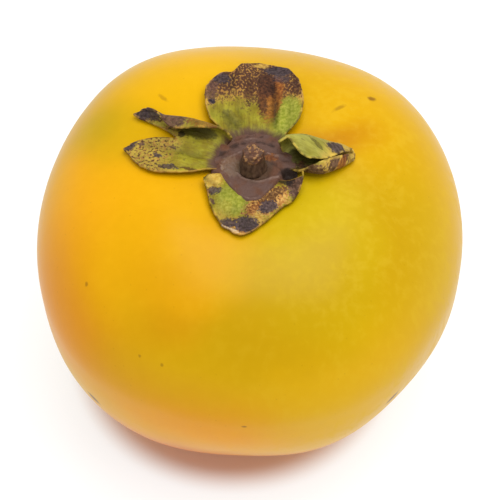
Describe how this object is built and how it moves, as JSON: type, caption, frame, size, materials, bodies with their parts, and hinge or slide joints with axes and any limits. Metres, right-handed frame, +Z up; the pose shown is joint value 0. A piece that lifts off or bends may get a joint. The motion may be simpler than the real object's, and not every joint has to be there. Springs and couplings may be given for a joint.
{
  "type": "persimmon",
  "caption": "Whole ripe persimmon, squarish and flat-based, with a dried lobed calyx of curled sepals and a short stem stub on top.",
  "frame": {"origin": "on the ground under the middle of the fruit's bounding box", "axes": "+Z up along the fruit's axis towards its stem, +Y towards the back sepal, +X towards the rolled right sepal"},
  "size_m": [0.0779, 0.0777, 0.0677],
  "materials": {
    "fruit_skin": "satin waxy skin, orange at the left and greener yellow at the right, with faint bloom",
    "calyx_leather": "dry purple-brown, wrinkled, slightly shiny on its raised collar",
    "stem_wood": "rough dark brown bark with a tan, grainy broken end",
    "sepal_back": "dull green at the base, yellow with brown specks outwards, a red-brown burnt patch",
    "sepal_left": "yellow-green with brown specks and dark dry tips",
    "sepal_front": "green at the base, tan speckled edge, purple-black dry patches",
    "sepal_right": "yellow-green upper flap, tan and red-brown lower flap"
  },
  "bodies": {
    "root": {"fruit": "fruit_skin", "calyx_disc": "calyx_leather", "stem_stub": "stem_wood", "sepal_back": "sepal_back", "sepal_left": "sepal_left", "sepal_front": "sepal_front", "sepal_right": "sepal_right"}
  },
  "joints": []
}
